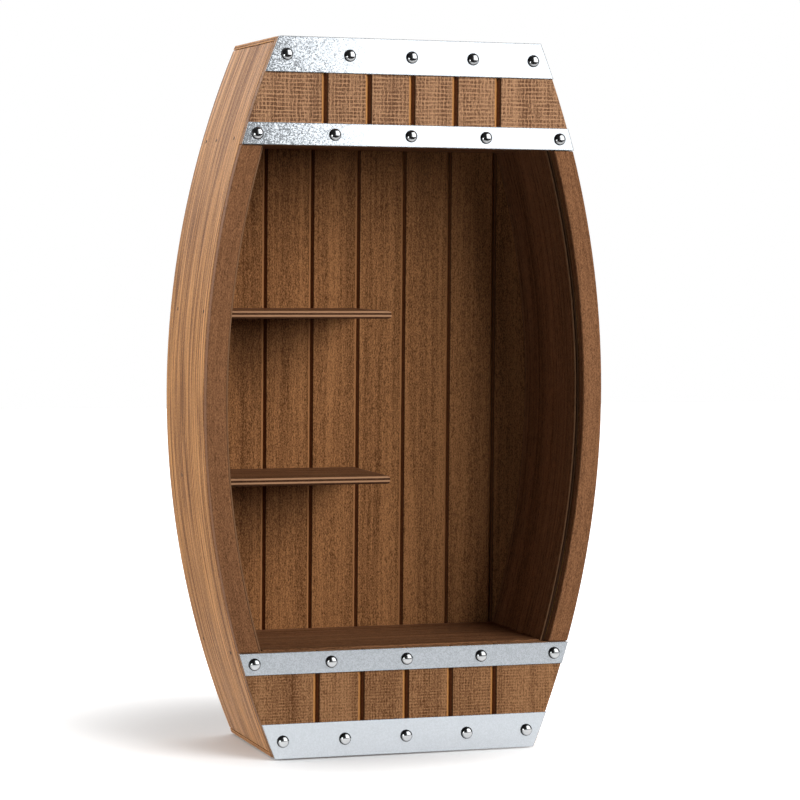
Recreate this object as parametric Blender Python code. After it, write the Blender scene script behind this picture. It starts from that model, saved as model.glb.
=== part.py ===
"""Wine glass rack shaped like a barrel cut flat at the front and the back.

A nailed wooden case stands on its bottom board. Two curved side boards with a thin plywood lining
carry a ceiling, a floor and a grooved back panel. The left half has two shelves for tumblers and the
right half is left free for a bottle. A face frame of two grooved fascias and two curved staves closes
the front, and four steel bands are fixed across the fascias with dome-head nails.

Metres. X runs across the front, Y from front to back, Z up. The origin is the middle of the base.
"""
import math

import bmesh
import bpy

# Overall size of the wooden case
HEIGHT = 0.500
WIDTH = 0.2918
END_WIDTH = 0.1918
DEPTH = 0.115

# Thickness of each kind of board
FRAME_T = 0.008
SIDE_T = 0.014
LINING_T = 0.003
COVER_T = 0.003
BOARD_T = 0.008
BACK_T = 0.006
SHELF_T = 0.0055

# Face frame and the compartment behind it
FASCIA_H = 0.0746
FLOOR_RISE = 0.0010
CEILING_RISE = 0.0008

# Shelves: clear heights from the floor up, setback from the front, gap from the free end to the middle plane
LOWER_BAY_H = 0.1127
MIDDLE_BAY_H = 0.1115
SHELF_SETBACK = 0.024
SHELF_END_TO_MIDDLE = 0.005
SHELF_CORNER_R = 0.002

# V-grooves that draw the narrow boards on the fascias and on the back panel
FASCIA_GROOVE_W = 0.0044
FASCIA_GROOVE_D = 0.0034
FASCIA_GROOVE_COUNT = 5
UPPER_GROOVE_PITCH = 0.0318
UPPER_GROOVE_SHIFT = 0.0010
LOWER_GROOVE_PITCH = 0.0329
LOWER_GROOVE_SHIFT = 0.0
BACK_GROOVE_W = 0.0036
BACK_GROOVE_D = 0.0026
BACK_GROOVE_COUNT = 7
BACK_GROOVE_PITCH = 0.0354
BACK_GROOVE_SHIFT = -0.0035

# Steel bands and their nails
BAND_T = 0.0010
WIDE_BAND_H = 0.0246
NARROW_BAND_H = 0.0154
NAILS_PER_BAND = 5
WIDE_NAIL_INSET = 0.0105
NARROW_NAIL_INSET = 0.0085
NAIL_HEAD_R = 0.0043
NAIL_HEAD_H = 0.0027
NAIL_RIM_H = 0.0004
NAIL_SHANK_R = 0.0009
NAIL_GRIP = 0.0055
NAIL_TIP = 0.0020
NAIL_HOLE_PLAY = 0.0003

# Gap left between two faces that touch, and the eased edge of a board
FIT = 0.0003
ARRIS = 0.0006

# Fineness of the round forms
ARC_STEP = 0.0125
NAIL_SIDES = 18
DOME_RINGS = 4
CORNER_STEPS = 3
CUT_OVERSHOOT = 0.004

# Places that follow from the sizes above
MID = HEIGHT / 2
BULGE = (WIDTH - END_WIDTH) / 2
RADIUS = (MID ** 2 + BULGE ** 2) / (2 * BULGE)
FRONT = -DEPTH / 2
REAR = DEPTH / 2
CASE_FRONT = FRONT + FRAME_T + FIT
PANEL_FRONT = REAR - BACK_T
LINING_INSET = SIDE_T + FIT
INNER_INSET = LINING_INSET + LINING_T + FIT
FLOOR_TOP = FASCIA_H + FLOOR_RISE
CEILING_UNDER = HEIGHT - FASCIA_H + CEILING_RISE
LOWER_SHELF_TOP = FLOOR_TOP + LOWER_BAY_H + SHELF_T
UPPER_SHELF_TOP = LOWER_SHELF_TOP + MIDDLE_BAY_H + SHELF_T
BAND_BACK = FRONT - FIT
BAND_FRONT = BAND_BACK - BAND_T

LEFT = -1
RIGHT = 1
SHARP_ANGLE = math.radians(40)


def clear_scene():
    for item in list(bpy.data.objects):
        bpy.data.objects.remove(item, do_unlink=True)


def material(name, colour, roughness, metallic=0.0):
    """One Principled material, with its colour given in linear values."""
    made = bpy.data.materials.new(name)
    made.use_nodes = True
    shader = made.node_tree.nodes["Principled BSDF"]
    shader.inputs["Base Color"].default_value = (*colour, 1.0)
    shader.inputs["Roughness"].default_value = roughness
    shader.inputs["Metallic"].default_value = metallic
    made.diffuse_color = (*colour, 1.0)
    return made


def half_width(z, inset=0.0):
    """Reach of the barrel curve from the middle plane at height z, moved inwards by inset."""
    return WIDTH / 2 - RADIUS + math.sqrt((RADIUS - inset) ** 2 - (z - MID) ** 2)


def heights(z_low, z_high):
    """Even steps from z_low to z_high, fine enough for the barrel curve."""
    steps = max(2, math.ceil((z_high - z_low) / ARC_STEP))
    return [z_low + (z_high - z_low) * i / steps for i in range(steps + 1)]


def spread(count, pitch, shift=0.0):
    """Places along X, an even pitch apart, about a middle that is moved by shift."""
    return [shift + pitch * (i - (count - 1) / 2) for i in range(count)]


def rail(side, inset, z_low, z_high):
    """Points (x, z) up one side of the barrel."""
    return [(side * half_width(z, inset), z) for z in heights(z_low, z_high)]


def mesh_from(name, bm, finish=None):
    """Mesh of a closed bmesh, with its faces turned outwards."""
    mesh = bpy.data.meshes.new(name)
    bmesh.ops.recalc_face_normals(bm, faces=bm.faces)
    bm.to_mesh(mesh)
    bm.free()
    if finish:
        mesh.materials.append(finish)
    return mesh


def add_object(name, mesh, parent):
    made = bpy.data.objects.new(name, mesh)
    bpy.context.scene.collection.objects.link(made)
    made.parent = parent
    return made


def prism(rail_a, rail_b, y_front, y_back):
    """Closed bmesh between two rails of (x, z) points, drawn out from y_front to y_back."""
    bm = bmesh.new()
    rings = []
    for (xa, za), (xb, zb) in zip(rail_a, rail_b):
        corners = ((xa, y_front, za), (xb, y_front, zb), (xb, y_back, zb), (xa, y_back, za))
        rings.append([bm.verts.new(corner) for corner in corners])
    for low, high in zip(rings, rings[1:]):
        for i in range(4):
            j = (i + 1) % 4
            bm.faces.new((low[i], low[j], high[j], high[i]))
    bm.faces.new(rings[0])
    bm.faces.new(rings[-1])
    return bm


def slab(name, z_low, z_high, inset, y_front, y_back, finish, parent):
    """Board across the barrel whose two ends follow the curve."""
    bm = prism(rail(LEFT, inset, z_low, z_high), rail(RIGHT, inset, z_low, z_high), y_front, y_back)
    return add_object(name, mesh_from(name, bm, finish), parent)


def stave(name, side, z_low, z_high, inset, thickness, y_front, y_back, finish, parent):
    """Curved board that follows one side of the barrel."""
    outer = rail(side, inset, z_low, z_high)
    inner = rail(side, inset + thickness, z_low, z_high)
    bm = prism(outer, inner, y_front, y_back)
    return add_object(name, mesh_from(name, bm, finish), parent)


def ease_edges(board):
    """Sanded arris along every sharp edge of a wooden board."""
    bevel = board.modifiers.new("arris", "BEVEL")
    bevel.width = ARRIS
    bevel.segments = 1
    bevel.limit_method = "ANGLE"
    bevel.angle_limit = SHARP_ANGLE


def as_cutter(item):
    item.hide_render = True
    item.display_type = "WIRE"
    return item


def cut(board, cutter):
    made = board.modifiers.new("cut", "BOOLEAN")
    made.operation = "DIFFERENCE"
    made.object = cutter


def groove_cutter(name, centres, y_face, width, depth, z_low, z_high, parent):
    """Upright V-shaped bars, one for each groove, that stand a little past the face and the ends."""
    bm = bmesh.new()
    for x in centres:
        section = ((x - width / 2, y_face), (x, y_face + depth), (x + width / 2, y_face),
                   (x + width / 2, y_face - CUT_OVERSHOOT), (x - width / 2, y_face - CUT_OVERSHOOT))
        low = [bm.verts.new((px, py, z_low - CUT_OVERSHOOT)) for px, py in section]
        high = [bm.verts.new((px, py, z_high + CUT_OVERSHOOT)) for px, py in section]
        bm.faces.new(low)
        bm.faces.new(high)
        for i in range(len(section)):
            j = (i + 1) % len(section)
            bm.faces.new((low[i], low[j], high[j], high[i]))
    return as_cutter(add_object(name, mesh_from(name, bm), parent))


def turned(bm, profile, x, z):
    """Closed turning about a line along Y through (x, z); profile is (radius, y) from end to end."""
    rings = []
    for radius, y in profile:
        if radius == 0.0:
            rings.append([bm.verts.new((x, y, z))])
            continue
        angles = [2 * math.pi * i / NAIL_SIDES for i in range(NAIL_SIDES)]
        rings.append([bm.verts.new((x + radius * math.cos(a), y, z + radius * math.sin(a))) for a in angles])
    for first, second in zip(rings, rings[1:]):
        for i in range(NAIL_SIDES):
            j = (i + 1) % NAIL_SIDES
            if len(first) == 1:
                bm.faces.new((first[0], second[i], second[j]))
            elif len(second) == 1:
                bm.faces.new((first[i], first[j], second[0]))
            else:
                bm.faces.new((first[i], first[j], second[j], second[i]))


def nail_hole_cutter(name, places, parent):
    """Round bars for the holes of one band, through the band and part way into the fascia."""
    radius = NAIL_SHANK_R + NAIL_HOLE_PLAY
    bottom = FRONT + NAIL_GRIP + NAIL_HOLE_PLAY
    mouth = BAND_FRONT - CUT_OVERSHOOT
    bm = bmesh.new()
    for x, z in places:
        turned(bm, ((0.0, mouth), (radius, mouth), (radius, bottom), (0.0, bottom)), x, z)
    return as_cutter(add_object(name, mesh_from(name, bm), parent))


def nail_profile():
    """Domed head, flat underside, round shank and point, along Y from the crown; y is 0 under the head."""
    crown_h = NAIL_HEAD_H - NAIL_RIM_H
    sphere = (NAIL_HEAD_R ** 2 + crown_h ** 2) / (2 * crown_h)
    sweep = math.asin(NAIL_HEAD_R / sphere)
    profile = [(0.0, -NAIL_HEAD_H)]
    for i in range(1, DOME_RINGS + 1):
        angle = sweep * i / DOME_RINGS
        profile.append((sphere * math.sin(angle), -NAIL_HEAD_H + sphere * (1 - math.cos(angle))))
    length = FRONT + NAIL_GRIP - (BAND_FRONT - FIT)
    profile += [(NAIL_HEAD_R, 0.0), (NAIL_SHANK_R, 0.0), (NAIL_SHANK_R, length - NAIL_TIP), (0.0, length)]
    return profile


def nail_mesh(finish):
    """The one turned mesh that all the nails share."""
    bm = bmesh.new()
    turned(bm, nail_profile(), 0.0, 0.0)
    mesh = mesh_from("dome_nail", bm, finish)
    mesh.shade_smooth()
    mesh.set_sharp_from_angle(angle=SHARP_ANGLE)
    return mesh


def make_case(wood, ply, parent):
    """Sides, linings, top, bottom, ceiling, floor and the grooved back."""
    low = COVER_T + FIT
    high = HEIGHT - COVER_T - FIT
    for side, word in ((LEFT, "left"), (RIGHT, "right")):
        panel = stave(f"side_panel_{word}", side, low, high, 0.0, SIDE_T, CASE_FRONT, REAR, wood, parent)
        ease_edges(panel)
        stave(f"side_lining_{word}", side, low, high, LINING_INSET, LINING_T,
              CASE_FRONT, PANEL_FRONT - FIT, ply, parent)
    for word, z_low in (("bottom", 0.0), ("top", HEIGHT - COVER_T)):
        slab(f"{word}_board", z_low, z_low + COVER_T, 0.0, CASE_FRONT, REAR, ply, parent)
    for word, z_low in (("ceiling", CEILING_UNDER), ("floor", FLOOR_TOP - BOARD_T)):
        board = slab(f"compartment_{word}", z_low, z_low + BOARD_T, INNER_INSET,
                     CASE_FRONT, PANEL_FRONT - FIT, wood, parent)
        ease_edges(board)
    back = slab("back_panel", low, high, LINING_INSET, PANEL_FRONT, REAR, wood, parent)
    centres = spread(BACK_GROOVE_COUNT, BACK_GROOVE_PITCH, BACK_GROOVE_SHIFT)
    cut(back, groove_cutter("back_panel_grooves", centres, PANEL_FRONT, BACK_GROOVE_W, BACK_GROOVE_D,
                            low, high, parent))


def is_at(vert, x, y):
    return math.isclose(vert.co.x, x, abs_tol=1e-6) and math.isclose(vert.co.y, y, abs_tol=1e-6)


def make_shelves(ply, parent):
    """Two plywood shelves, held at the left lining and at the back, free at their right end."""
    for word, top in (("lower", LOWER_SHELF_TOP), ("upper", UPPER_SHELF_TOP)):
        held_end = rail(LEFT, INNER_INSET, top - SHELF_T, top)
        free_end = [(-SHELF_END_TO_MIDDLE, z) for _, z in held_end]
        front = FRONT + SHELF_SETBACK
        bm = prism(held_end, free_end, front, PANEL_FRONT - FIT)
        corner = [edge for edge in bm.edges if all(is_at(v, free_end[0][0], front) for v in edge.verts)]
        bmesh.ops.bevel(bm, geom=corner, offset=SHELF_CORNER_R, segments=CORNER_STEPS, profile=0.5,
                        affect="EDGES")
        name = f"shelf_{word}"
        ease_edges(add_object(name, mesh_from(name, bm, ply), parent))


def make_front(wood, steel, chrome, parent):
    """Staves, fascias, bands and nails."""
    for side, word in ((LEFT, "left"), (RIGHT, "right")):
        strip = stave(f"front_stave_{word}", side, FASCIA_H + FIT, HEIGHT - FASCIA_H - FIT, 0.0, SIDE_T,
                      FRONT, FRONT + FRAME_T, wood, parent)
        ease_edges(strip)
    nail = nail_mesh(chrome)
    rows = (("upper", HEIGHT - FASCIA_H, UPPER_GROOVE_PITCH, UPPER_GROOVE_SHIFT,
             HEIGHT - FASCIA_H, HEIGHT - WIDE_BAND_H),
            ("lower", 0.0, LOWER_GROOVE_PITCH, LOWER_GROOVE_SHIFT, FASCIA_H - NARROW_BAND_H, 0.0))
    for word, z_low, pitch, shift, narrow_low, wide_low in rows:
        fascia = slab(f"{word}_fascia", z_low, z_low + FASCIA_H, 0.0, FRONT, FRONT + FRAME_T, wood, parent)
        ease_edges(fascia)
        centres = spread(FASCIA_GROOVE_COUNT, pitch, shift)
        cut(fascia, groove_cutter(f"{word}_fascia_grooves", centres, FRONT, FASCIA_GROOVE_W, FASCIA_GROOVE_D,
                                  z_low, z_low + FASCIA_H, parent))
        bands = ((f"{word}_end_band", wide_low, WIDE_BAND_H, WIDE_NAIL_INSET),
                 (f"{word}_inner_band", narrow_low, NARROW_BAND_H, NARROW_NAIL_INSET))
        for band_name, band_low, band_h, nail_inset in bands:
            band = slab(band_name, band_low, band_low + band_h, 0.0, BAND_FRONT, BAND_BACK, steel, parent)
            z_nail = band_low + band_h / 2
            nail_pitch = 2 * (half_width(z_nail) - nail_inset) / (NAILS_PER_BAND - 1)
            places = [(x, z_nail) for x in spread(NAILS_PER_BAND, nail_pitch)]
            holes = nail_hole_cutter(f"{band_name}_holes", places, parent)
            cut(band, holes)
            cut(fascia, holes)
            for number, (x, z) in enumerate(places, start=1):
                placed = add_object(f"nail_{band_name}_{number}", nail, parent)
                placed.location = (x, BAND_FRONT - FIT, z)


def main():
    clear_scene()
    rack = bpy.data.objects.new("wine_glass_rack", None)
    bpy.context.scene.collection.objects.link(rack)
    wood = material("stained_fir", (0.205, 0.105, 0.052), 0.62)
    ply = material("stained_plywood", (0.160, 0.078, 0.036), 0.66)
    steel = material("galvanised_steel", (0.60, 0.62, 0.63), 0.38, 1.0)
    chrome = material("chromed_steel", (0.55, 0.56, 0.57), 0.12, 1.0)
    make_case(wood, ply, rack)
    make_shelves(ply, rack)
    make_front(wood, steel, chrome, rack)


main()
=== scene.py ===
"""Looks of a barrel-shaped wine glass rack: stained wood, plywood, galvanised bands and chromed nails.

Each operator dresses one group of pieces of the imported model, and the last one sets the studio.
Metres, in the model's own frame: X across the front, Y from front to back, Z up from the base.
"""
import math
from typing import NamedTuple

import bmesh
import bpy
from bpy.props import FloatProperty, FloatVectorProperty, IntProperty, PointerProperty
from bpy.types import Operator, Panel, PropertyGroup
from mathutils import Matrix, Vector


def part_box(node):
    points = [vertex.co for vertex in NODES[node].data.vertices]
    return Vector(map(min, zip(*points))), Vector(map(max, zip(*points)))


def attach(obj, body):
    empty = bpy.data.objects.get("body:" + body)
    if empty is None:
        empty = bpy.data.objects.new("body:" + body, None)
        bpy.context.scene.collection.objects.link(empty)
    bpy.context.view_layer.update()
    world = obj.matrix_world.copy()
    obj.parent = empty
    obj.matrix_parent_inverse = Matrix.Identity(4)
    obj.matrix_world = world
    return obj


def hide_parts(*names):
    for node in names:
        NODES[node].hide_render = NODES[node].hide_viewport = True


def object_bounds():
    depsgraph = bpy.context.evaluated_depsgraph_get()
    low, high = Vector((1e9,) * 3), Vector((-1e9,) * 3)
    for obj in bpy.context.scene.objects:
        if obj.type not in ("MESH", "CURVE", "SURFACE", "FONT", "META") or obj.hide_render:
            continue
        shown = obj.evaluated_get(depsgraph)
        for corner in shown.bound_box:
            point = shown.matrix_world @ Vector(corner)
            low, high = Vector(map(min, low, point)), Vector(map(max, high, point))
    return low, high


bl_info = {
    "name": "Wine Glass Rack Looks",
    "version": (1, 0, 0),
    "blender": (4, 5, 0),
    "location": "View3D > Sidebar > Rack",
    "description": "Dresses a barrel-shaped wine glass rack and sets a plain studio round it",
    "category": "Object",
}

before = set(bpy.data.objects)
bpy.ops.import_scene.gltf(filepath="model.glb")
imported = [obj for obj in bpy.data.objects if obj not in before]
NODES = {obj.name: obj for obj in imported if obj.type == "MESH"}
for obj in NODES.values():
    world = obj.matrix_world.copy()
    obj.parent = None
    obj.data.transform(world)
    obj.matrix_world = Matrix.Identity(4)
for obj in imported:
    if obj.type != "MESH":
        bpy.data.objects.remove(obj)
CAD_LOW, CAD_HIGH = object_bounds()
BODY = "root"
MM = 0.001
SIDES = ("left", "right")
BANDS = ("upper_end_band", "upper_inner_band", "lower_inner_band", "lower_end_band")
NAILS_PER_BAND = 5
WHITE = (1.0, 1.0, 1.0, 1.0)
BLACK = (0.0, 0.0, 0.0, 1.0)

# The barrel curve, from the widest point of a side and the corner of the top board
SIDE_LOW, SIDE_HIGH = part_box("side_panel_left")
TOP_LOW, TOP_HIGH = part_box("top_board")
MIDDLE = (SIDE_LOW.z + SIDE_HIGH.z) / 2
HALF_WIDTH = -SIDE_LOW.x
SAG = HALF_WIDTH - TOP_HIGH.x
RADIUS = ((TOP_LOW.z - MIDDLE) ** 2 + SAG ** 2) / (2 * SAG)
CURVE_CENTRE = RADIUS - HALF_WIDTH

# The origin is at half the depth of the wooden case, whose rear is the rear of the whole
CASE_FRONT = -CAD_HIGH.y

# Corners closer than this are joined, and edges flatter than these angles are shaded smooth
WELD = 0.01 * MM
SOLID_CREASE = math.radians(25)
PIECE_CREASE = math.radians(35)

# Sockets of the Mix node, told apart by number because their names repeat
FACTOR, NUMBER_A, NUMBER_B, COLOUR_A, COLOUR_B = 0, 2, 3, 6, 7
COLOUR_OUT = 2

# How far the grain lines wander, how far apart in the log the grain of two boards is, and how much the
# tone of the boards differs
SWAY = 6 * MM
BOARD_JUMP = (0.7, 0.0, 0.3)
BOARD_TONE = 0.08

# Power that narrows a wave from 0 to 1 to the lines of a saw, and the mean height of the wave after that
SAW_POWER = 5.0
SAW_MEAN = 0.246

# How far behind the front the boards differ, in depths of a groove, and how far the stain and the painted
# highlight and shade of a groove run from its middle, in half widths
BOARD_DEPTH = 1.2
STAIN_AND_SHADE_RUN = 1.08

# Share of a nail's shank that is straight, and a brad head's crown, its shoulder as (share of the radius,
# height), its depth in the wood and its number of sides
SHANK_SHARE = 0.7
BRAD_CROWN = 0.12 * MM
BRAD_SHOULDER = (0.7, 0.1 * MM)
BRAD_SINK = 0.3 * MM
BRAD_SIDES = 12

# Brads: side, board that they hold, height above the middle of its edge, and distances from the front
BRAD_ROWS = (
    ("left", "compartment_ceiling", 0.0, (0.026, 0.0736, 0.102)),
    ("left", "shelf_upper", 2.5 * MM, (0.020, 0.093)),
    ("left", "shelf_lower", 1.7 * MM, (0.078,)),
    ("left", "compartment_floor", 0.0, (0.0265, 0.101)),
    ("right", "compartment_ceiling", 0.0, (0.026, 0.070, 0.100)),
    ("right", "compartment_floor", 0.0, (0.028, 0.099)),
)

# Where the lights stand, and how wide and tall they are
KEY_PLACE = (1.389, -1.957, 1.3)
KEY_SIZE = (1.9, 1.8)
SIDE_PLACE = (-2.2, 0.45, 0.6)
SIDE_SIZE = (0.9, 0.9)
FILL_PLACE = (-0.82, -0.85, 0.16)
FILL_SIZE = (0.35, 0.3)

# The key softbox as the metal mirrors it, the dim wall to its left, and the soft edge between them
CARD_PLACE = (1.676, -1.757, 1.7)
CARD_SIZE = (2.6, 3.0)
WALL_WIDTH = 0.6
WALL_EDGE = (-0.05, 0.1)

# The table, which lies a little below the base so that no faces meet, and the middle of the soft shade on it
TABLE_REACH = 4.0
TABLE_FRONT = -0.67
TABLE_PLACE = (0.0, 0.06, -1.2 * MM)
SHADE_MIDDLE = (-0.05, 0.0, 0.0)
SENSOR_WIDTH = 36.0


class Grooves(NamedTuple):
    """V-grooves down a board of the model: pitch, shift of the middle one from the middle, and how many."""

    board: str
    pitch: float
    shift: float
    count: int
    width: float
    depth: float


UPPER_GROOVES = Grooves("upper_fascia", 31.8 * MM, 1.0 * MM, 5, width=4.4 * MM, depth=3.4 * MM)
LOWER_GROOVES = Grooves("lower_fascia", 32.9 * MM, 0.0 * MM, 5, width=4.4 * MM, depth=3.4 * MM)
BACK_GROOVES = Grooves("back_panel", 35.4 * MM, -3.5 * MM, 7, width=3.6 * MM, depth=2.6 * MM)


def linear(hex_code):
    """Linear red, green and blue from an sRGB hex value."""
    parts = [int(hex_code[i:i + 2], 16) / 255 for i in (1, 3, 5)]
    return tuple(p / 12.92 if p <= 0.04045 else ((p + 0.055) / 1.055) ** 2.4 for p in parts)


def colour_prop(name, description, hex_code):
    return FloatVectorProperty(name=name, description=description, subtype="COLOR", size=3, min=0.0, max=1.0,
                               default=linear(hex_code))


def size_prop(name, description, millimetres):
    return FloatProperty(name=name, description=description, unit="LENGTH", min=0.0, default=millimetres * MM)


class RackFinish(PropertyGroup):
    """Colours of the rack's stains and metals."""

    side_pale: colour_prop("Side pale", "Pale wood between the grain lines of the sides", "#d59a60")
    side_dark: colour_prop("Side dark", "Grain lines of the sides", "#6c4122")
    upper_pale: colour_prop("Upper pale", "Pale wood on the upper fascia", "#bf926d")
    upper_dark: colour_prop("Upper dark", "Grain lines on the upper fascia", "#664530")
    lower_pale: colour_prop("Lower pale", "Pale wood on the lower fascia", "#ad7f58")
    lower_dark: colour_prop("Lower dark", "Grain lines on the lower fascia", "#5c3920")
    stave_pale: colour_prop("Stave pale", "Pale wood on the staves", "#986a48")
    stave_dark: colour_prop("Stave dark", "Grain lines on the staves", "#5a3923")
    back_pale: colour_prop("Back pale", "Pale wood of the back panel", "#a8754a")
    back_dark: colour_prop("Back dark", "Grain lines of the back panel", "#58371e")
    # Lit slope: thin stain and a painted highlight; far slope: painted shade; foot: stain and painted shade
    groove: colour_prop("Groove", "Lit slopes of the V-grooves, where the stain is thin", "#c88c4e")
    groove_far_shade: colour_prop("Groove far", "Far slopes of the V-grooves, with most of the stain", "#5a3018")
    groove_foot_and_shade: colour_prop("Groove foot", "Bottom of the V-grooves, where the stain gathers", "#1e0f08")
    ply_pale: colour_prop("Ply pale", "Pale veneer of the plywood", "#946848")
    ply_dark: colour_prop("Ply dark", "Grain lines of the plywood", "#452a18")
    shelf_edge: colour_prop("Shelf edge", "Pale layers along the edge of a shelf", "#b58a68")
    lining_edge: colour_prop("Lining edge", "Pale layers along the edge of a lining", "#8a684c")
    ply_glue: colour_prop("Ply glue", "Dark layers along a plywood edge", "#2e190e")
    zinc: colour_prop("Zinc", "Zinc coat of the bands", "#d3d9df")
    chrome: colour_prop("Chrome", "Chromed nail heads", "#d0d2d4")
    brad: colour_prop("Brad", "Sunk brad heads on the sides", "#160805")


class RackDetail(PropertyGroup):
    """Sizes of the small pieces and the softened edges."""

    nail_sides: IntProperty(name="Nail sides", description="Sides of a nail head", min=12, max=96,
                            default=40)
    nail_rings: IntProperty(name="Nail rings", description="Rings on a nail's dome", min=4, max=24,
                            default=10)
    head_height: size_prop("Head height", "Height of a nail head above its band", 2.7)
    shank_radius: size_prop("Shank radius", "Radius of a nail's shank", 0.9)
    upper_edge: size_prop("Upper edge", "Rounding along the cut edges of the upper bands", 0.9)
    lower_edge: size_prop("Lower edge", "Rounding along the cut edges of the lower bands", 0.5)
    brad_radius: size_prop("Brad radius", "Radius of a sunk brad head", 1.4)


class RackStage(PropertyGroup):
    """Lights, floor and camera."""

    key_power: FloatProperty(name="Key power", description="Softbox at the front right", unit="POWER",
                             default=87.0)
    key_glow: FloatProperty(name="Key glow", description="Brightness of the key softbox in the metal",
                            default=2.0)
    wall_glow: FloatProperty(name="Wall glow", description="Brightness of the wall left of the softbox",
                             default=0.18)
    side_power: FloatProperty(name="Side power", description="Softbox at the left", unit="POWER",
                              default=26.0)
    fill_power: FloatProperty(name="Fill power", description="Low reflector at the front left", unit="POWER",
                              default=1.4)
    backdrop: FloatProperty(name="Backdrop", description="Brightness of the white backdrop", default=1.2)
    dark_side: FloatProperty(name="Dark side", description="Brightness of the room behind the camera",
                             default=0.02)
    lens: FloatProperty(name="Lens", description="Focal length in millimetres on a 36 mm sensor",
                        default=128.84)
    camera_place: FloatVectorProperty(name="Camera place", description="Where the camera stands", size=3,
                                      subtype="TRANSLATION", default=(-0.64017, -1.9552, 0.35816))
    camera_yaw: FloatProperty(name="Camera yaw", description="Turn of the camera to the right",
                              subtype="ANGLE", default=math.radians(18.47))
    camera_pitch: FloatProperty(name="Camera pitch", description="Tilt of the camera down",
                                subtype="ANGLE", default=math.radians(3.12))
    camera_roll: FloatProperty(name="Camera roll", description="Roll of the camera",
                               subtype="ANGLE", default=math.radians(0.48))


def add_node(tree, kind, settings=None, inputs=None, stops=None):
    """Add one node: settings are its own values, inputs are values or sockets, stops are a ramp's colours."""
    node = tree.nodes.new(kind)
    for key, value in (settings or {}).items():
        setattr(node, key, value)
    for key, value in (inputs or {}).items():
        if isinstance(value, bpy.types.NodeSocket):
            tree.links.new(value, node.inputs[key])
        else:
            node.inputs[key].default_value = value
    if stops:
        ramp = node.color_ramp.elements
        while len(ramp) < len(stops):
            ramp.new(1.0)
        for element, (place, colour) in zip(ramp, stops):
            element.position = place
            element.color = (*colour, 1.0)
    return node


def new_material(name):
    """Empty node material with a Principled shader on its output."""
    made = bpy.data.materials.new(name)
    made.use_nodes = True
    made.node_tree.nodes.clear()
    shader = add_node(made.node_tree, "ShaderNodeBsdfPrincipled")
    add_node(made.node_tree, "ShaderNodeOutputMaterial", inputs={"Surface": shader.outputs["BSDF"]})
    return made, made.node_tree, shader


def grain_space(tree, lie):
    """Point as (along the grain, across it, through the board) in metres.

    lie is "bent" for boards that follow the barrel curve, "upright" or "level".
    """
    place = add_node(tree, "ShaderNodeTexCoord").outputs["Object"]
    split = add_node(tree, "ShaderNodeSeparateXYZ", inputs={0: place}).outputs
    if lie == "upright":
        order = (split["Z"], split["X"], split["Y"])
    elif lie == "level":
        order = (split["X"], split["Y"], split["Z"])
    else:
        out = add_node(tree, "ShaderNodeMath", {"operation": "ABSOLUTE"}, {0: split["X"]}).outputs[0]
        out = add_node(tree, "ShaderNodeMath", {"operation": "ADD"}, {0: out, 1: CURVE_CENTRE}).outputs[0]
        up = add_node(tree, "ShaderNodeMath", {"operation": "SUBTRACT"},
                      {0: split["Z"], 1: MIDDLE}).outputs[0]
        turn = add_node(tree, "ShaderNodeMath", {"operation": "ARCTAN2"}, {0: up, 1: out}).outputs[0]
        side = add_node(tree, "ShaderNodeMath", {"operation": "SIGN"}, {0: split["X"]}).outputs[0]
        along = add_node(tree, "ShaderNodeMath", {"operation": "MULTIPLY_ADD"},
                         {0: turn, 1: RADIUS, 2: side}).outputs[0]
        out2 = add_node(tree, "ShaderNodeMath", {"operation": "MULTIPLY"}, {0: out, 1: out}).outputs[0]
        reach2 = add_node(tree, "ShaderNodeMath", {"operation": "MULTIPLY_ADD"},
                          {0: up, 1: up, 2: out2}).outputs[0]
        reach = add_node(tree, "ShaderNodeMath", {"operation": "SQRT"}, {0: reach2}).outputs[0]
        order = (along, split["Y"], reach)
    return add_node(tree, "ShaderNodeCombineXYZ", inputs=dict(enumerate(order))).outputs[0]


def streaks(tree, space, along_mm, across_mm, detail, shift=0.0):
    """Noise drawn out along the grain, with streaks of about these sizes."""
    scale = (1 / (along_mm * MM), 1 / (across_mm * MM), 1 / (across_mm * MM))
    moved = add_node(tree, "ShaderNodeVectorMath", {"operation": "MULTIPLY_ADD"},
                     {0: space, 1: scale, 2: (shift, shift, shift)}).outputs[0]
    return add_node(tree, "ShaderNodeTexNoise", inputs={"Vector": moved, "Scale": 1.0, "Detail": detail,
                                                        "Roughness": 0.55}).outputs[0]


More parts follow.
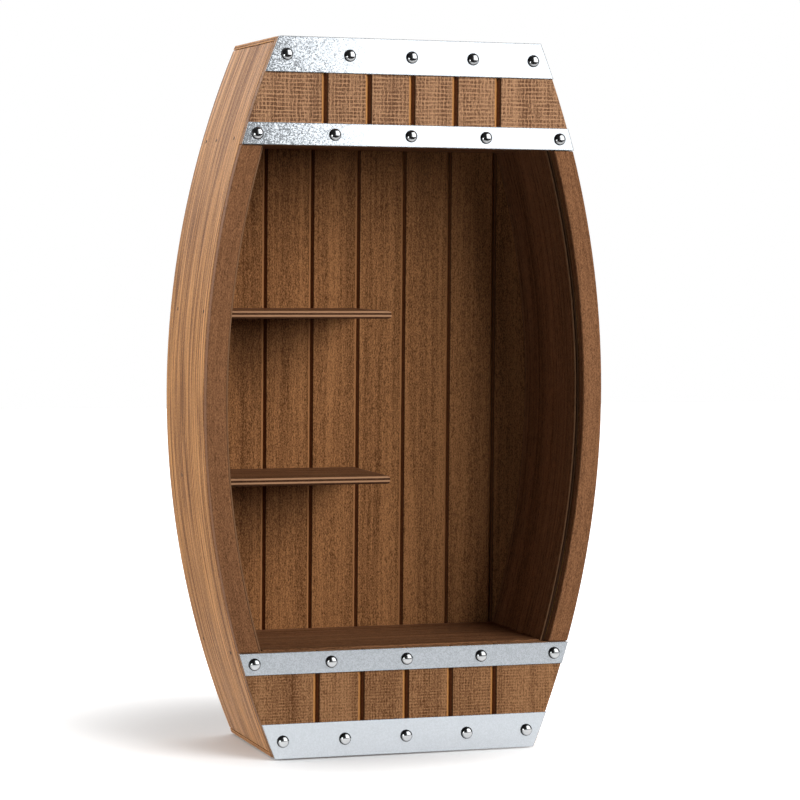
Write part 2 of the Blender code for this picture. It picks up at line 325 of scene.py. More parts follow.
def saw_marks(tree, space, spacing_mm, strength):
    """Layers of (height, weight): the lines of a saw across the grain and, fainter, of its feed along it.

    They wander, fade in places, and lie only on the front and rear faces.
    """
    marks = add_node(tree, "ShaderNodeSeparateXYZ", inputs={0: space}).outputs
    normal = add_node(tree, "ShaderNodeNewGeometry").outputs["True Normal"]
    sawn = add_node(tree, "ShaderNodeSeparateXYZ", inputs={0: normal}).outputs["Y"]
    sawn = add_node(tree, "ShaderNodeMath", {"operation": "ABSOLUTE"}, {0: sawn}).outputs[0]
    sawn = add_node(tree, "ShaderNodeMath", {"operation": "GREATER_THAN"}, {0: sawn, 1: 0.9}).outputs[0]
    layers = []
    for axis, share in (("X", 1.0), ("Y", 0.7)):
        wander = streaks(tree, grain_space(tree, "level"), along_mm=30, across_mm=6, detail=2.0,
                         shift=3.0 / share)
        wander = add_node(tree, "ShaderNodeMath", {"operation": "MULTIPLY"}, {0: wander, 1: 6.0}).outputs[0]
        patches = streaks(tree, space, along_mm=9, across_mm=9, detail=3.0, shift=4.0 / share)
        depth = add_node(tree, "ShaderNodeMapRange",
                         inputs={"Value": patches, "From Min": 0.35, "From Max": 0.65,
                                 "To Max": sawn}).outputs[0]
        turn = add_node(tree, "ShaderNodeMath", {"operation": "MULTIPLY_ADD"},
                        {0: marks[axis], 1: 2 * math.pi / (spacing_mm * MM), 2: wander}).outputs[0]
        wave = add_node(tree, "ShaderNodeMath", {"operation": "SINE"}, {0: turn}).outputs[0]
        wave = add_node(tree, "ShaderNodeMath", {"operation": "MULTIPLY_ADD"},
                        {0: wave, 1: 0.5, 2: 0.5}).outputs[0]
        wave = add_node(tree, "ShaderNodeMath", {"operation": "POWER"}, {0: wave, 1: SAW_POWER}).outputs[0]
        wave = add_node(tree, "ShaderNodeMath", {"operation": "SUBTRACT"}, {0: wave, 1: SAW_MEAN}).outputs[0]
        wave = add_node(tree, "ShaderNodeMath", {"operation": "MULTIPLY_ADD"},
                        {0: wave, 1: depth, 2: 0.5}).outputs[0]
        layers.append((wave, strength * share))
    return layers


def count_boards(tree, grooves):
    """Boards between grooves, counted across the front with a whole number at each groove, and the depth, Y.

    Behind the grooves the panel is one board, and beyond the outer grooves the outer board goes on.
    """
    outer = (grooves.count - 1) / 2 + 0.9
    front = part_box(grooves.board)[0].y
    place = add_node(tree, "ShaderNodeTexCoord").outputs["Object"]
    place = add_node(tree, "ShaderNodeSeparateXYZ", inputs={0: place}).outputs
    count = add_node(tree, "ShaderNodeMath", {"operation": "MULTIPLY_ADD"},
                     {0: place["X"], 1: 1 / grooves.pitch, 2: -grooves.shift / grooves.pitch}).outputs[0]
    count = add_node(tree, "ShaderNodeClamp", inputs={"Value": count, "Min": -outer, "Max": outer}).outputs[0]
    cut = add_node(tree, "ShaderNodeMath", {"operation": "LESS_THAN"},
                   {0: place["Y"], 1: front + BOARD_DEPTH * grooves.depth}).outputs[0]
    count = add_node(tree, "ShaderNodeMix", inputs={FACTOR: cut, NUMBER_A: 0.5, NUMBER_B: count}).outputs[0]
    return count, place["Y"]


def stain_and_shade_grooves(tree, colour, grooves, count, depth, slopes):
    """Stain and painted light in the V-grooves, over the colour of the boards. slopes is the colour of the
    lit slope, pale from thin stain and a painted highlight, of the foot, where the stain gathers, also
    painted as shade along the far edge, and of the far slope, painted dark as shade."""
    lit, foot, far = slopes
    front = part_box(grooves.board)[0].y
    reach = grooves.width / 2 / grooves.pitch
    offset = add_node(tree, "ShaderNodeMath", {"operation": "PINGPONG"}, {0: count, 1: 0.5}).outputs[0]
    slope = add_node(tree, "ShaderNodeMath", {"operation": "MULTIPLY_ADD"},
                     {0: depth, 1: -reach / grooves.depth,
                      2: reach * (STAIN_AND_SHADE_RUN + front / grooves.depth)}).outputs[0]
    inside = add_node(tree, "ShaderNodeMath", {"operation": "LESS_THAN"}, {0: offset, 1: slope}).outputs[0]
    across = add_node(tree, "ShaderNodeMath", {"operation": "ADD"}, {0: count, 1: 0.5}).outputs[0]
    across = add_node(tree, "ShaderNodeMath", {"operation": "FRACT"}, {0: across}).outputs[0]
    across = add_node(tree, "ShaderNodeMapRange",
                      inputs={"Value": across, "From Min": 0.5 - reach, "From Max": 0.5 + reach}).outputs[0]
    # Painted highlight on the lit slope, painted shade on the far slope and along its edge
    stain = add_node(tree, "ShaderNodeValToRGB", inputs={0: across},
                     stops=((0.48, lit), (0.6, foot), (0.72, far), (1.0, foot))).outputs[0]
    stain = add_node(tree, "ShaderNodeMix", {"data_type": "RGBA"},
                     {FACTOR: 0.2, COLOUR_A: stain, COLOUR_B: colour}).outputs[COLOUR_OUT]
    return add_node(tree, "ShaderNodeMix", {"data_type": "RGBA"},
                    {FACTOR: inside, COLOUR_A: colour, COLOUR_B: stain}).outputs[COLOUR_OUT]


def stained_wood(name, lie, pale, dark, grain_mm, figure=1.0, fibre=1.2, fibre_mm=(6.0, 0.8), pores=1.6,
                 gloss=(0.5, 0.68), saw=None, grooves=None, slopes=None):
    """Softwood under a brown oil stain: pale early wood, darker grain lines, fine fibres and pores, with a
    matt and slightly uneven gloss. figure, fibre and pores say how strongly the grain lines, the fibres and
    the pores show, and gloss is the roughness of pale and of dark wood. saw is (spacing in mm, strength) of
    saw marks. Boards between grooves each take the stain a little differently. The fibres and pores are
    drawn about twice as coarse as real ones, to show."""
    made, tree, shader = new_material(name)
    space = grain_space(tree, lie)
    layers = []
    if grooves:
        count, depth = count_boards(tree, grooves)
        number = add_node(tree, "ShaderNodeMath", {"operation": "FLOOR"}, {0: count}).outputs[0]
        board = add_node(tree, "ShaderNodeTexWhiteNoise", {"noise_dimensions": "1D"},
                         {"W": number}).outputs[0]
        space = add_node(tree, "ShaderNodeVectorMath", {"operation": "MULTIPLY_ADD"},
                         {0: board, 1: BOARD_JUMP, 2: space}).outputs[0]
        layers.append((board, BOARD_TONE))
    bends = streaks(tree, space, along_mm=160, across_mm=45, detail=1.0, shift=5.0)
    grain = add_node(tree, "ShaderNodeVectorMath", {"operation": "MULTIPLY_ADD"},
                     {0: bends, 1: (0.0, SWAY, SWAY), 2: space}).outputs[0]
    lines = streaks(tree, grain, along_mm=170, across_mm=grain_mm, detail=3.0, shift=2.0)
    layers += [
        (streaks(tree, grain, *fibre_mm, detail=2.0, shift=8.0), fibre),
        (lines, figure),
        (streaks(tree, grain, along_mm=1.3, across_mm=0.6, detail=3.0, shift=9.0), pores),
        (streaks(tree, grain, along_mm=420, across_mm=grain_mm * 6, detail=1.0), 0.6),
    ]
    if saw:
        layers += saw_marks(tree, space, *saw)
    tone = 0.5 - sum(weight for _, weight in layers) / 2
    for layer, weight in layers:
        tone = add_node(tree, "ShaderNodeMath", {"operation": "MULTIPLY_ADD"},
                        {0: layer, 1: weight, 2: tone}).outputs[0]
    middle = tuple((p + d) / 2 for p, d in zip(pale, dark))
    colour = add_node(tree, "ShaderNodeValToRGB", inputs={0: tone},
                      stops=((0.1, dark), (0.5, middle), (0.9, pale))).outputs[0]
    if grooves:
        colour = stain_and_shade_grooves(tree, colour, grooves, count, depth, slopes)
    pale_gloss, dark_gloss = gloss
    rough = add_node(tree, "ShaderNodeMapRange",
                     inputs={"Value": lines, "From Min": 0.3, "From Max": 0.7, "To Min": dark_gloss,
                             "To Max": pale_gloss}).outputs[0]
    bump = add_node(tree, "ShaderNodeBump",
                    inputs={"Strength": 0.5, "Distance": 0.2 * MM, "Height": tone}).outputs[0]
    for key, value in (("Base Color", colour), ("Roughness", rough), ("Normal", bump)):
        tree.links.new(value, shader.inputs[key])
    shader.inputs["IOR"].default_value = 1.5
    shader.inputs["Specular IOR Level"].default_value = 0.1
    return made


def layered_edge(made, axes, lie, layer, start, pale, dark, strength):
    """Layers of plywood on a wood material: pale and dark stripes on the faces that look along the axes.

    The layers lie through the board, each one layer thick, and a pale one is centred on start.
    """
    tree = made.node_tree
    shader = next(n for n in tree.nodes if n.type == "BSDF_PRINCIPLED")
    colour = shader.inputs["Base Color"].links[0].from_socket
    normal = add_node(tree, "ShaderNodeNewGeometry").outputs["True Normal"]
    facing = add_node(tree, "ShaderNodeSeparateXYZ", inputs={0: normal}).outputs
    face = 0.0
    for axis in axes:
        size = add_node(tree, "ShaderNodeMath", {"operation": "ABSOLUTE"}, {0: facing[axis]}).outputs[0]
        face = add_node(tree, "ShaderNodeMath", {"operation": "MAXIMUM"}, {0: size, 1: face}).outputs[0]
    on_edge = add_node(tree, "ShaderNodeMapRange",
                       inputs={"Value": face, "From Min": 0.6, "From Max": 0.7, "To Min": 0.0,
                               "To Max": strength}).outputs[0]
    depth = add_node(tree, "ShaderNodeSeparateXYZ", inputs={0: grain_space(tree, lie)}).outputs["Z"]
    depth = add_node(tree, "ShaderNodeMath", {"operation": "SUBTRACT"}, {0: depth, 1: start}).outputs[0]
    depth = add_node(tree, "ShaderNodeMath", {"operation": "DIVIDE"}, {0: depth, 1: 2 * layer}).outputs[0]
    wave = add_node(tree, "ShaderNodeMath", {"operation": "PINGPONG"}, {0: depth, 1: 0.5}).outputs[0]
    layers = add_node(tree, "ShaderNodeValToRGB", inputs={0: wave},
                      stops=((0.16, pale), (0.28, dark))).outputs[0]
    mixed = add_node(tree, "ShaderNodeMix", {"data_type": "RGBA"},
                     {FACTOR: on_edge, COLOUR_A: colour, COLOUR_B: layers}).outputs[COLOUR_OUT]
    tree.links.new(mixed, shader.inputs["Base Color"])


def galvanised_steel(name, zinc, edge, crystal_mm, tilt, mottle):
    """Hot-dip galvanised strip: a bright zinc coat whose crystals, the spangle, each mirror another part of
    the room, so the strip is speckled where the mirrored light ends. tilt is how far the crystals lean, and
    mottle is how much duller some are. The cut edges are rounded by edge and painted nearly black: cut steel
    where the zinc ends, darkened as painted shade for the dark that a rounded edge mirrors."""
    edge_shade_share = 0.12
    made, tree, shader = new_material(name)
    place = add_node(tree, "ShaderNodeTexCoord").outputs["Object"]
    scale = 1 / (crystal_mm * MM)
    stir = add_node(tree, "ShaderNodeTexNoise", inputs={"Vector": place, "Scale": scale}).outputs["Color"]
    stirred = add_node(tree, "ShaderNodeVectorMath", {"operation": "MULTIPLY_ADD"},
                       {0: stir, 1: (MM, MM, MM), 2: place}).outputs[0]
    crystals = add_node(tree, "ShaderNodeTexVoronoi",
                        inputs={"Vector": stirred, "Scale": scale}).outputs["Color"]
    dull = tuple((1 - mottle) * c for c in zinc)
    colour = add_node(tree, "ShaderNodeValToRGB", inputs={0: crystals},
                      stops=((0.3, dull), (0.7, zinc))).outputs[0]
    rounded = add_node(tree, "ShaderNodeBevel", {"samples": 6}, {"Radius": edge}).outputs[0]
    flat = add_node(tree, "ShaderNodeNewGeometry").outputs["True Normal"]
    flat = add_node(tree, "ShaderNodeVectorMath", {"operation": "DOT_PRODUCT"},
                    {0: flat, 1: rounded}).outputs["Value"]
    # Painted shade: near the rounded cut edges the colour goes nearly black
    cut = add_node(tree, "ShaderNodeMapRange",
                   inputs={"Value": flat, "From Min": 0.96, "From Max": 0.997, "To Min": 1.0,
                           "To Max": 0.0}).outputs[0]
    bare_edge_and_shade = tuple(edge_shade_share * c for c in zinc)
    colour = add_node(tree, "ShaderNodeMix", {"data_type": "RGBA"},
                      {FACTOR: cut, COLOUR_A: colour, COLOUR_B: (*bare_edge_and_shade, 1.0)}).outputs[COLOUR_OUT]
    facet = add_node(tree, "ShaderNodeVectorMath", {"operation": "MULTIPLY_ADD"},
                     {0: crystals, 1: (tilt, 0.0, tilt), 2: rounded}).outputs[0]
    facet = add_node(tree, "ShaderNodeVectorMath", {"operation": "SUBTRACT"},
                     {0: facet, 1: (tilt / 2, 0.0, tilt / 2)}).outputs[0]
    facet = add_node(tree, "ShaderNodeVectorMath", {"operation": "NORMALIZE"}, {0: facet}).outputs[0]
    for key, value in (("Base Color", colour), ("Normal", facet)):
        tree.links.new(value, shader.inputs[key])
    shader.inputs["Metallic"].default_value = 0.74
    shader.inputs["Roughness"].default_value = 0.06
    return made


def chromed_steel(name, chrome):
    """Chrome plate on a pressed nail head: a clear mirror with faint handling haze. Where the dome turns
    steep, near the band, its colour is painted nearly black: painted shade for the dark that the steep edge
    mirrors."""
    haze_mm = 2.0
    rim_shade_share = 0.04
    made, tree, shader = new_material(name)
    place = add_node(tree, "ShaderNodeTexCoord").outputs["Object"]
    haze = add_node(tree, "ShaderNodeTexNoise",
                    inputs={"Vector": place, "Scale": 1 / (haze_mm * MM)}).outputs[0]
    rough = add_node(tree, "ShaderNodeMapRange",
                     inputs={"Value": haze, "To Min": 0.06, "To Max": 0.2}).outputs[0]
    normal = add_node(tree, "ShaderNodeNewGeometry").outputs["True Normal"]
    facing = add_node(tree, "ShaderNodeSeparateXYZ", inputs={0: normal}).outputs["Y"]
    facing = add_node(tree, "ShaderNodeMath", {"operation": "ABSOLUTE"}, {0: facing}).outputs[0]
    # Painted shade: where the dome turns steep and faces away from the front, its colour goes nearly black
    painted_rim_shade = tuple(rim_shade_share * c for c in chrome)
    colour = add_node(tree, "ShaderNodeValToRGB", inputs={0: facing},
                      stops=((0.6, painted_rim_shade), (0.85, chrome))).outputs[0]
    tree.links.new(colour, shader.inputs["Base Color"])
    tree.links.new(rough, shader.inputs["Roughness"])
    shader.inputs["Metallic"].default_value = 1.0
    return made


def filled_heads(name, filler):
    """Brad heads set below the surface and rubbed over with dark filler: small matt dots, nearly black."""
    made, _, shader = new_material(name)
    shader.inputs["Base Color"].default_value = (*filler, 1.0)
    shader.inputs["Roughness"].default_value = 0.8
    return made


def smoothing_group():
    """Geometry nodes that join the corners of a solid and shade its gentle curves smooth."""
    name = "smooth_curves"
    tree = bpy.data.node_groups.get(name)
    if tree:
        return tree
    tree = bpy.data.node_groups.new(name, "GeometryNodeTree")
    tree.interface.new_socket("Geometry", in_out="INPUT", socket_type="NodeSocketGeometry")
    tree.interface.new_socket("Geometry", in_out="OUTPUT", socket_type="NodeSocketGeometry")
    start = add_node(tree, "NodeGroupInput").outputs[0]
    joined = add_node(tree, "GeometryNodeMergeByDistance",
                      inputs={"Geometry": start, "Distance": WELD}).outputs[0]
    angle = add_node(tree, "GeometryNodeInputMeshEdgeAngle").outputs["Unsigned Angle"]
    sharp = add_node(tree, "FunctionNodeCompare", {"operation": "GREATER_THAN"},
                     {"A": angle, "B": SOLID_CREASE}).outputs[0]
    shaded = add_node(tree, "GeometryNodeSetMeshNormal", {"mode": "SHARPNESS"},
                      {"Mesh": joined, "Remove Custom": True, "Edge Sharpness": sharp}).outputs[0]
    add_node(tree, "NodeGroupOutput", inputs={0: shaded})
    return tree


def dress(node_name, finish):
    """Gives a solid of the model its finish and smooth curves."""
    node = NODES[node_name]
    node.data.materials.clear()
    node.data.materials.append(finish)
    smooth = node.modifiers.new("smooth curves", "NODES")
    smooth.node_group = smoothing_group()


def add_piece(name, bm, finish):
    """New piece of the rack from a closed bmesh, riding on the rack's one body."""
    mesh = bpy.data.meshes.new(name)
    bmesh.ops.recalc_face_normals(bm, faces=bm.faces)
    bm.to_mesh(mesh)
    bm.free()
    mesh.shade_smooth()
    mesh.set_sharp_from_angle(angle=PIECE_CREASE)
    mesh.materials.append(finish)
    piece = bpy.data.objects.new(name, mesh)
    bpy.context.scene.collection.objects.link(piece)
    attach(piece, BODY)
    return piece


def lathe(bm, profile, sides, matrix):
    """Closed turning of (radius, height) points about the matrix's Z axis."""
    rings = []
    for radius, height in profile:
        count = sides if radius else 1
        turns = [2 * math.pi * i / sides for i in range(count)]
        rings.append([bm.verts.new(matrix @ Vector((radius * math.cos(t), radius * math.sin(t), height)))
                      for t in turns])
    for first, second in zip(rings, rings[1:]):
        for i in range(sides):
            j = (i + 1) % sides
            corners = [first[i % len(first)], first[j % len(first)],
                       second[j % len(second)], second[i % len(second)]]
            bm.faces.new(list(dict.fromkeys(corners)))


def flat_sheet(name, corners, finish):
    """Object of one flat face through (x, y) corners, for the stage."""
    bm = bmesh.new()
    bm.faces.new([bm.verts.new((x, y, 0.0)) for x, y in corners])
    mesh = bpy.data.meshes.new(name)
    bm.to_mesh(mesh)
    bm.free()
    mesh.materials.append(finish)
    return bpy.data.objects.new(name, mesh)


class RACK_OT_sides(Operator):
    """Stained fir on the two bent side panels, with the grain along the bend"""

    bl_idname = "rack.dress_sides"
    bl_label = "Side panels"

    def execute(self, context):
        finish = context.scene.rack_finish
        wood = stained_wood("planed_stained_fir_sides", "bent", finish.side_pale, finish.side_dark, 2.8,
                            figure=1.8, fibre=1.8, fibre_mm=(60.0, 1.2), pores=1.4, gloss=(0.42, 0.58))
        for word in SIDES:
            dress(f"side_panel_{word}", wood)
        return {"FINISHED"}


class RACK_OT_linings(Operator):
    """Thin bent plywood inside the sides, and the thin boards over the top and the bottom"""

    bl_idname = "rack.dress_linings"
    bl_label = "Linings, top and bottom"

    def execute(self, context):
        finish = context.scene.rack_finish
        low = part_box("side_lining_left")[0]
        outer = RADIUS - (low.x + HALF_WIDTH)
        # Three layers in 3 mm, of which the inner and the outer one are pale
        layer = 1.0 * MM
        bent = stained_wood("bent_stained_plywood", "bent", finish.ply_pale, finish.ply_dark, 3.0)
        layered_edge(bent, ("Y",), "bent", layer, outer - 2.5 * layer, finish.lining_edge,
                     finish.ply_glue, 0.8)
        for word in SIDES:
            dress(f"side_lining_{word}", bent)
        for word in ("top", "bottom"):
            low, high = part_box(f"{word}_board")
            flat = stained_wood(f"stained_plywood_{word}", "level", finish.side_pale, finish.side_dark, 2.2)
            layer = (high.z - low.z) / 3
            layered_edge(flat, ("X", "Y"), "level", layer, low.z + layer / 2, finish.side_pale,
                         finish.side_dark, 0.6)
            dress(f"{word}_board", flat)
        return {"FINISHED"}


class RACK_OT_inside(Operator):
    """Grooved back panel, ceiling and floor of the compartment"""

    bl_idname = "rack.dress_inside"
    bl_label = "Back, ceiling and floor"

    def execute(self, context):
        finish = context.scene.rack_finish
        # Its grooves get painted shade on the far slope and along the far edge
        back = stained_wood("stained_fir_back", "upright", finish.back_pale, finish.back_dark, 2.4,
                            figure=0.8, fibre=1.0, pores=2.4, grooves=BACK_GROOVES,
                            slopes=(finish.back_pale, finish.groove_foot_and_shade, finish.groove_far_shade))
        dress("back_panel", back)
        level = stained_wood("stained_fir_level", "level", finish.ply_pale, finish.ply_dark, 2.4)
        for word in ("ceiling", "floor"):
            dress(f"compartment_{word}", level)
        return {"FINISHED"}


class RACK_OT_shelves(Operator):
    """Plywood shelves with their layers along the open edges"""

    bl_idname = "rack.dress_shelves"
    bl_label = "Shelves"

    def execute(self, context):
        finish = context.scene.rack_finish
        for word in ("lower", "upper"):
            low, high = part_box(f"shelf_{word}")
            wood = stained_wood(f"stained_plywood_shelf_{word}", "level", finish.ply_pale, finish.ply_dark,
                                2.4)
            layer = (high.z - low.z) / 4
            layered_edge(wood, ("X", "Y"), "level", layer, high.z - layer / 2, finish.shelf_edge,
                         finish.ply_glue, 0.8)
            dress(f"shelf_{word}", wood)
        return {"FINISHED"}


class RACK_OT_front(Operator):
    """Sawn and stained fir on the fascias and the front staves"""

    bl_idname = "rack.dress_front"
    bl_label = "Fascias and staves"

    def execute(self, context):
        finish = context.scene.rack_finish
        # The grooves get a painted highlight on the lit slope and painted shade on the far one
        slopes = (finish.groove, finish.groove_foot_and_shade, finish.groove_far_shade)
        rows = (("upper", finish.upper_pale, finish.upper_dark, UPPER_GROOVES, (2.75, 1.0)),
                ("lower", finish.lower_pale, finish.lower_dark, LOWER_GROOVES, (2.1, 0.5)))
        for word, pale, dark, grooves, saw in rows:
            wood = stained_wood(f"sawn_stained_fir_{word}", "upright", pale, dark, 1.6, figure=0.6, fibre=0.6,
                                pores=2.2, saw=saw, grooves=grooves, slopes=slopes)
            dress(f"{word}_fascia", wood)
        bent = stained_wood("planed_stained_fir_staves", "bent", finish.stave_pale, finish.stave_dark, 2.0,
                            figure=0.5, fibre=0.8, pores=2.0)
        for word in SIDES:
            dress(f"front_stave_{word}", bent)
        return {"FINISHED"}


class RACK_OT_bands(Operator):
    """Galvanised steel bands across the fascias"""

    bl_idname = "rack.dress_bands"
    bl_label = "Steel bands"

    def execute(self, context):
        finish = context.scene.rack_finish
        detail = context.scene.rack_detail
        # Bands, rounding of their edges, size of the crystals in millimetres, tilt and mottle
        rows = (("upper", detail.upper_edge, 0.7, 0.035, 0.08),
                ("lower_inner", detail.lower_edge, 0.8, 0.006, 0.2),
                ("lower_end", detail.lower_edge, 0.8, 0.006, 0.07))
        for word, edge, crystal_mm, tilt, mottle in rows:
            steel = galvanised_steel(f"galvanised_steel_strip_{word}", finish.zinc, edge, crystal_mm, tilt,
                                     mottle)
            for name in BANDS:
                if name.startswith(word):
                    dress(name, steel)
        return {"FINISHED"}


class RACK_OT_nails(Operator):
    """Dome-head nails, turned finer than the model's, in the same places"""

    bl_idname = "rack.dress_nails"
    bl_label = "Dome nails"

    def execute(self, context):
        detail = context.scene.rack_detail
        chrome = chromed_steel("chromed_nail_steel", context.scene.rack_finish.chrome)
        for band in BANDS:
            for number in range(1, NAILS_PER_BAND + 1):
                self.turn_nail(f"nail_{band}_{number}", detail, chrome)
        return {"FINISHED"}

    def turn_nail(self, node_name, detail, chrome):
        """One nail with its seat on the band: an elliptic dome, a flat underside and a pointed shank."""
        low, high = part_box(node_name)
        radius = (high.x - low.x) / 2
        seat = low.y + detail.head_height
        turns = [math.pi / 2 * i / detail.nail_rings for i in range(1, detail.nail_rings)]
        dome = [(radius * math.sin(turn), detail.head_height * math.cos(turn)) for turn in turns]
        shank = detail.shank_radius
        point = seat - high.y
        profile = [(0.0, detail.head_height), *dome, (radius, 0.0), (shank, 0.0),
                   (shank, point * SHANK_SHARE), (0.0, point)]
        place = Matrix.Translation(((low.x + high.x) / 2, seat, (low.z + high.z) / 2))
        bm = bmesh.new()
        lathe(bm, profile, detail.nail_sides, place @ Matrix.Rotation(math.radians(90), 4, "X"))
        piece = add_piece(f"dome_{node_name}", bm, chrome)
        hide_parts(node_name)


class RACK_OT_brads(Operator):
    """Sunk brad heads on the outside of the sides, at the ends of the boards that they hold"""

    bl_idname = "rack.add_brads"
    bl_label = "Brad heads"

    def execute(self, context):
        radius = context.scene.rack_detail.brad_radius
        finish = filled_heads("filled_brad_heads", context.scene.rack_finish.brad)
        share, shoulder = BRAD_SHOULDER
        head = [(0.0, BRAD_CROWN), (radius * share, shoulder), (radius, 0.0), (radius, -BRAD_SINK),
                (0.0, -BRAD_SINK)]
        for word, sign in zip(SIDES, (-1, 1)):
            bm = bmesh.new()
            for side, board, above, depths in BRAD_ROWS:
                if side != word:
                    continue
                low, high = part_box(board)
                rise = (low.z + high.z) / 2 + above - MIDDLE
                turn = math.asin(rise / RADIUS)
                out = Vector((sign * math.cos(turn), 0.0, math.sin(turn)))
                for depth in depths:
                    foot = Vector((-sign * CURVE_CENTRE, CASE_FRONT + depth, MIDDLE)) + out * RADIUS
                    place = Matrix.Translation(foot) @ out.to_track_quat("Z", "Y").to_matrix().to_4x4()
                    lathe(bm, head, BRAD_SIDES, place)
            add_piece(f"brad_heads_{word}", bm, finish)
        return {"FINISHED"}


class RACK_OT_stage(Operator):
    """Pale floor, soft lights and the camera"""

    bl_idname = "rack.set_stage"
    bl_label = "Studio stage"

    def execute(self, context):
        stage = context.scene.rack_stage
        self.make_world(context.scene, stage)
        self.make_floor(context.scene)
        lights = (("key_softbox", stage.key_power, KEY_PLACE, KEY_SIZE),
                  ("side_softbox", stage.side_power, SIDE_PLACE, SIDE_SIZE),
                  ("fill_reflector", stage.fill_power, FILL_PLACE, FILL_SIZE))
        for name, power, place, size in lights:
            self.make_softbox(context.scene, name, power, Vector(place), size)
        self.make_card(context.scene, stage)
        self.make_camera(context.scene, stage)
        context.scene.view_settings.view_transform = "Standard"
        return {"FINISHED"}

    def make_world(self, scene, stage):
        """White backdrop behind the rack and a dark room on the camera's side; the camera itself sees white.

        What mirrors the upper left of the backdrop sees it brighter.
        """
        world = bpy.data.worlds.new("studio_room")
        scene.world = world
        world.use_nodes = True
        tree = world.node_tree
        tree.nodes.clear()
        look = add_node(tree, "ShaderNodeTexCoord").outputs["Generated"]
        look = add_node(tree, "ShaderNodeSeparateXYZ", inputs={0: look}).outputs
        paper = add_node(tree, "ShaderNodeMapRange", {"interpolation_type": "SMOOTHSTEP"},
                         {"Value": look["Z"], "From Min": -0.05, "From Max": 0.2,
                          "To Min": 0.2 * stage.backdrop, "To Max": stage.backdrop}).outputs[0]
        high = add_node(tree, "ShaderNodeMapRange", {"interpolation_type": "SMOOTHSTEP"},
                        {"Value": look["Z"], "From Min": 0.05, "From Max": 0.3,
                         "To Min": 0.0, "To Max": 1.7}).outputs[0]
        left = add_node(tree, "ShaderNodeMath", {"operation": "LESS_THAN"}, {0: look["X"], 1: 0.0}).outputs[0]
        mirrored = add_node(tree, "ShaderNodeLightPath").outputs["Is Glossy Ray"]
        left = add_node(tree, "ShaderNodeMath", {"operation": "MULTIPLY"}, {0: left, 1: mirrored}).outputs[0]
        high = add_node(tree, "ShaderNodeMath", {"operation": "MULTIPLY_ADD"},
                        {0: high, 1: left, 2: 1.0}).outputs[0]
        paper = add_node(tree, "ShaderNodeMath", {"operation": "MULTIPLY"}, {0: paper, 1: high}).outputs[0]
        grey = add_node(tree, "ShaderNodeMapRange", {"interpolation_type": "SMOOTHSTEP"},
                        {"Value": look["Y"], "From Min": -0.1, "From Max": 0.4,
                         "To Min": stage.dark_side, "To Max": paper}).outputs[0]
        room = add_node(tree, "ShaderNodeBackground", inputs={"Color": WHITE, "Strength": grey}).outputs[0]
        plain = add_node(tree, "ShaderNodeBackground", inputs={"Color": WHITE}).outputs[0]
        seen = add_node(tree, "ShaderNodeLightPath").outputs["Is Camera Ray"]
        mixed = add_node(tree, "ShaderNodeMixShader", inputs={0: seen, 1: room, 2: plain}).outputs[0]
        add_node(tree, "ShaderNodeOutputWorld", inputs={"Surface": mixed})

    def make_floor(self, scene):
        """White table: it looks lit from below, throws little light back on the rack and ends before the
        camera. Its glow is weak under the rack, which leaves a soft shade there, and the metal mirrors only
        the near part of it."""
        made, tree, shader = new_material("matt_white_paper")
        place = add_node(tree, "ShaderNodeTexCoord").outputs["Object"]
        away = add_node(tree, "ShaderNodeVectorMath", {"operation": "LENGTH"}, {0: place}).outputs["Value"]
        shade = add_node(tree, "ShaderNodeVectorMath", {"operation": "DISTANCE"},
                         {0: place, 1: SHADE_MIDDLE}).outputs["Value"]
        glow = add_node(tree, "ShaderNodeMapRange", {"interpolation_type": "SMOOTHSTEP"},
                        {"Value": shade, "From Min": 0.06, "From Max": 0.34,
                         "To Min": 0.0, "To Max": 1.0}).outputs[0]
        seen = add_node(tree, "ShaderNodeLightPath").outputs["Is Camera Ray"]
        bounced = add_node(tree, "ShaderNodeLightPath").outputs["Is Diffuse Ray"]
        mirrored = add_node(tree, "ShaderNodeMapRange", {"interpolation_type": "SMOOTHSTEP"},
                            {"Value": away, "From Min": 0.15, "From Max": 0.5,
                             "To Min": 0.4, "To Max": 0.0}).outputs[0]
        glow = add_node(tree, "ShaderNodeMix",
                        inputs={FACTOR: seen, NUMBER_A: mirrored, NUMBER_B: glow}).outputs[0]
        glow = add_node(tree, "ShaderNodeMix",
                        inputs={FACTOR: bounced, NUMBER_A: glow, NUMBER_B: 0.0}).outputs[0]
        far = add_node(tree, "ShaderNodeMapRange", {"interpolation_type": "SMOOTHSTEP"},
                       {"Value": away, "From Min": 0.25, "From Max": 0.6,
                        "To Min": 0.88, "To Max": 0.66}).outputs[0]
        albedo = add_node(tree, "ShaderNodeMix",
                          inputs={FACTOR: bounced, NUMBER_A: far, NUMBER_B: 0.15}).outputs[0]
        tree.links.new(glow, shader.inputs["Emission Strength"])
        tree.links.new(albedo, shader.inputs["Base Color"])
        shader.inputs["Emission Color"].default_value = WHITE
        shader.inputs["Roughness"].default_value = 0.9
        corners = ((-TABLE_REACH, TABLE_FRONT), (TABLE_REACH, TABLE_FRONT), (TABLE_REACH, TABLE_REACH),
                   (-TABLE_REACH, TABLE_REACH))
        floor = flat_sheet("white_table", corners, made)
        floor.location = TABLE_PLACE
        scene.collection.objects.link(floor)

    def make_softbox(self, scene, name, power, place, size):
        """Upright softbox that faces the rack. The metal mirrors the key one by its card instead."""
        light = bpy.data.lights.new(name, "AREA")
        light.energy = power
        light.shape = "RECTANGLE"
        light.size, light.size_y = size
        item = bpy.data.objects.new(name, light)
        item.location = place
        item.rotation_euler = Vector((-place.x, -place.y, 0.0)).to_track_quat("-Z", "Y").to_euler()
        item.visible_glossy = name != "key_softbox"
        scene.collection.objects.link(item)

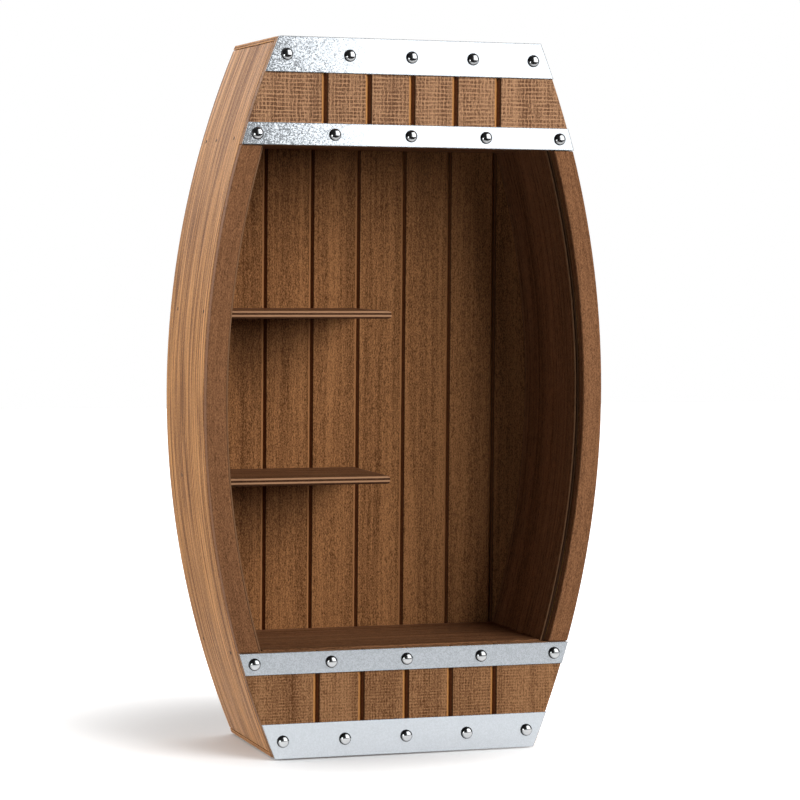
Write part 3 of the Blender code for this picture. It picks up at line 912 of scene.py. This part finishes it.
    def make_card(self, scene, stage):
        """What the metal mirrors of the key softbox: its face, as bright as a photograph can hold, and to the
        left of it a dim wall."""
        wide, tall = CARD_SIZE[0] / 2, CARD_SIZE[1] / 2
        made, tree, shader = new_material("softbox_cloth")
        shader.inputs["Base Color"].default_value = BLACK
        shader.inputs["Emission Color"].default_value = WHITE
        place = add_node(tree, "ShaderNodeTexCoord").outputs["Object"]
        place = add_node(tree, "ShaderNodeSeparateXYZ", inputs={0: place}).outputs["X"]
        glow = add_node(tree, "ShaderNodeMapRange", {"interpolation_type": "SMOOTHSTEP"},
                        {"Value": place, "From Min": -wide + WALL_EDGE[0], "From Max": -wide + WALL_EDGE[1],
                         "To Min": stage.wall_glow, "To Max": stage.key_glow}).outputs[0]
        tree.links.new(glow, shader.inputs["Emission Strength"])
        left = -wide - WALL_WIDTH
        card = flat_sheet("softbox_face", ((left, -tall), (wide, -tall), (wide, tall), (left, tall)), made)
        card.location = CARD_PLACE
        card.rotation_euler = scene.objects["key_softbox"].rotation_euler
        card.visible_camera = False
        card.visible_diffuse = False
        card.visible_shadow = False
        scene.collection.objects.link(card)

    def make_camera(self, scene, stage):
        """Camera at the photograph's place, turned by yaw, pitch and roll."""
        data = bpy.data.cameras.new("photo_camera")
        data.lens = stage.lens
        data.sensor_width = SENSOR_WIDTH
        yaw, pitch, roll = stage.camera_yaw, stage.camera_pitch, stage.camera_roll
        forward = Vector((math.sin(yaw) * math.cos(pitch), math.cos(yaw) * math.cos(pitch), -math.sin(pitch)))
        level = Vector((math.cos(yaw), -math.sin(yaw), 0.0))
        upright = level.cross(forward)
        right = math.cos(roll) * level + math.sin(roll) * upright
        top = math.cos(roll) * upright - math.sin(roll) * level
        camera = bpy.data.objects.new("photo_camera", data)
        scene.collection.objects.link(camera)
        turned = Matrix((right, top, -forward)).transposed().to_4x4()
        camera.matrix_world = Matrix.Translation(Vector(stage.camera_place)) @ turned
        scene.camera = camera


class RACK_PT_looks(Panel):
    """Sidebar panel with the rack's operators and settings"""

    bl_idname = "RACK_PT_looks"
    bl_label = "Wine Glass Rack"
    bl_space_type = "VIEW_3D"
    bl_region_type = "UI"
    bl_category = "Rack"

    def draw(self, context):
        column = self.layout.column(align=True)
        for operator in OPERATORS:
            column.operator(operator.bl_idname)
        for group in (context.scene.rack_finish, context.scene.rack_detail, context.scene.rack_stage):
            box = self.layout.box()
            for name in group.__annotations__:
                box.prop(group, name)


OPERATORS = (RACK_OT_sides, RACK_OT_linings, RACK_OT_inside, RACK_OT_shelves, RACK_OT_front, RACK_OT_bands,
             RACK_OT_nails, RACK_OT_brads, RACK_OT_stage)
CLASSES = (RackFinish, RackDetail, RackStage, *OPERATORS, RACK_PT_looks)


def register():
    for item in CLASSES:
        bpy.utils.register_class(item)
    bpy.types.Scene.rack_finish = PointerProperty(type=RackFinish)
    bpy.types.Scene.rack_detail = PointerProperty(type=RackDetail)
    bpy.types.Scene.rack_stage = PointerProperty(type=RackStage)


def unregister():
    del bpy.types.Scene.rack_stage
    del bpy.types.Scene.rack_detail
    del bpy.types.Scene.rack_finish
    for item in reversed(CLASSES):
        bpy.utils.unregister_class(item)


def main():
    register()
    bpy.ops.rack.dress_sides()
    bpy.ops.rack.dress_linings()
    bpy.ops.rack.dress_inside()
    bpy.ops.rack.dress_shelves()
    bpy.ops.rack.dress_front()
    bpy.ops.rack.dress_bands()
    bpy.ops.rack.dress_nails()
    bpy.ops.rack.add_brads()
    bpy.ops.rack.set_stage()


if __name__ == "__main__":
    main()
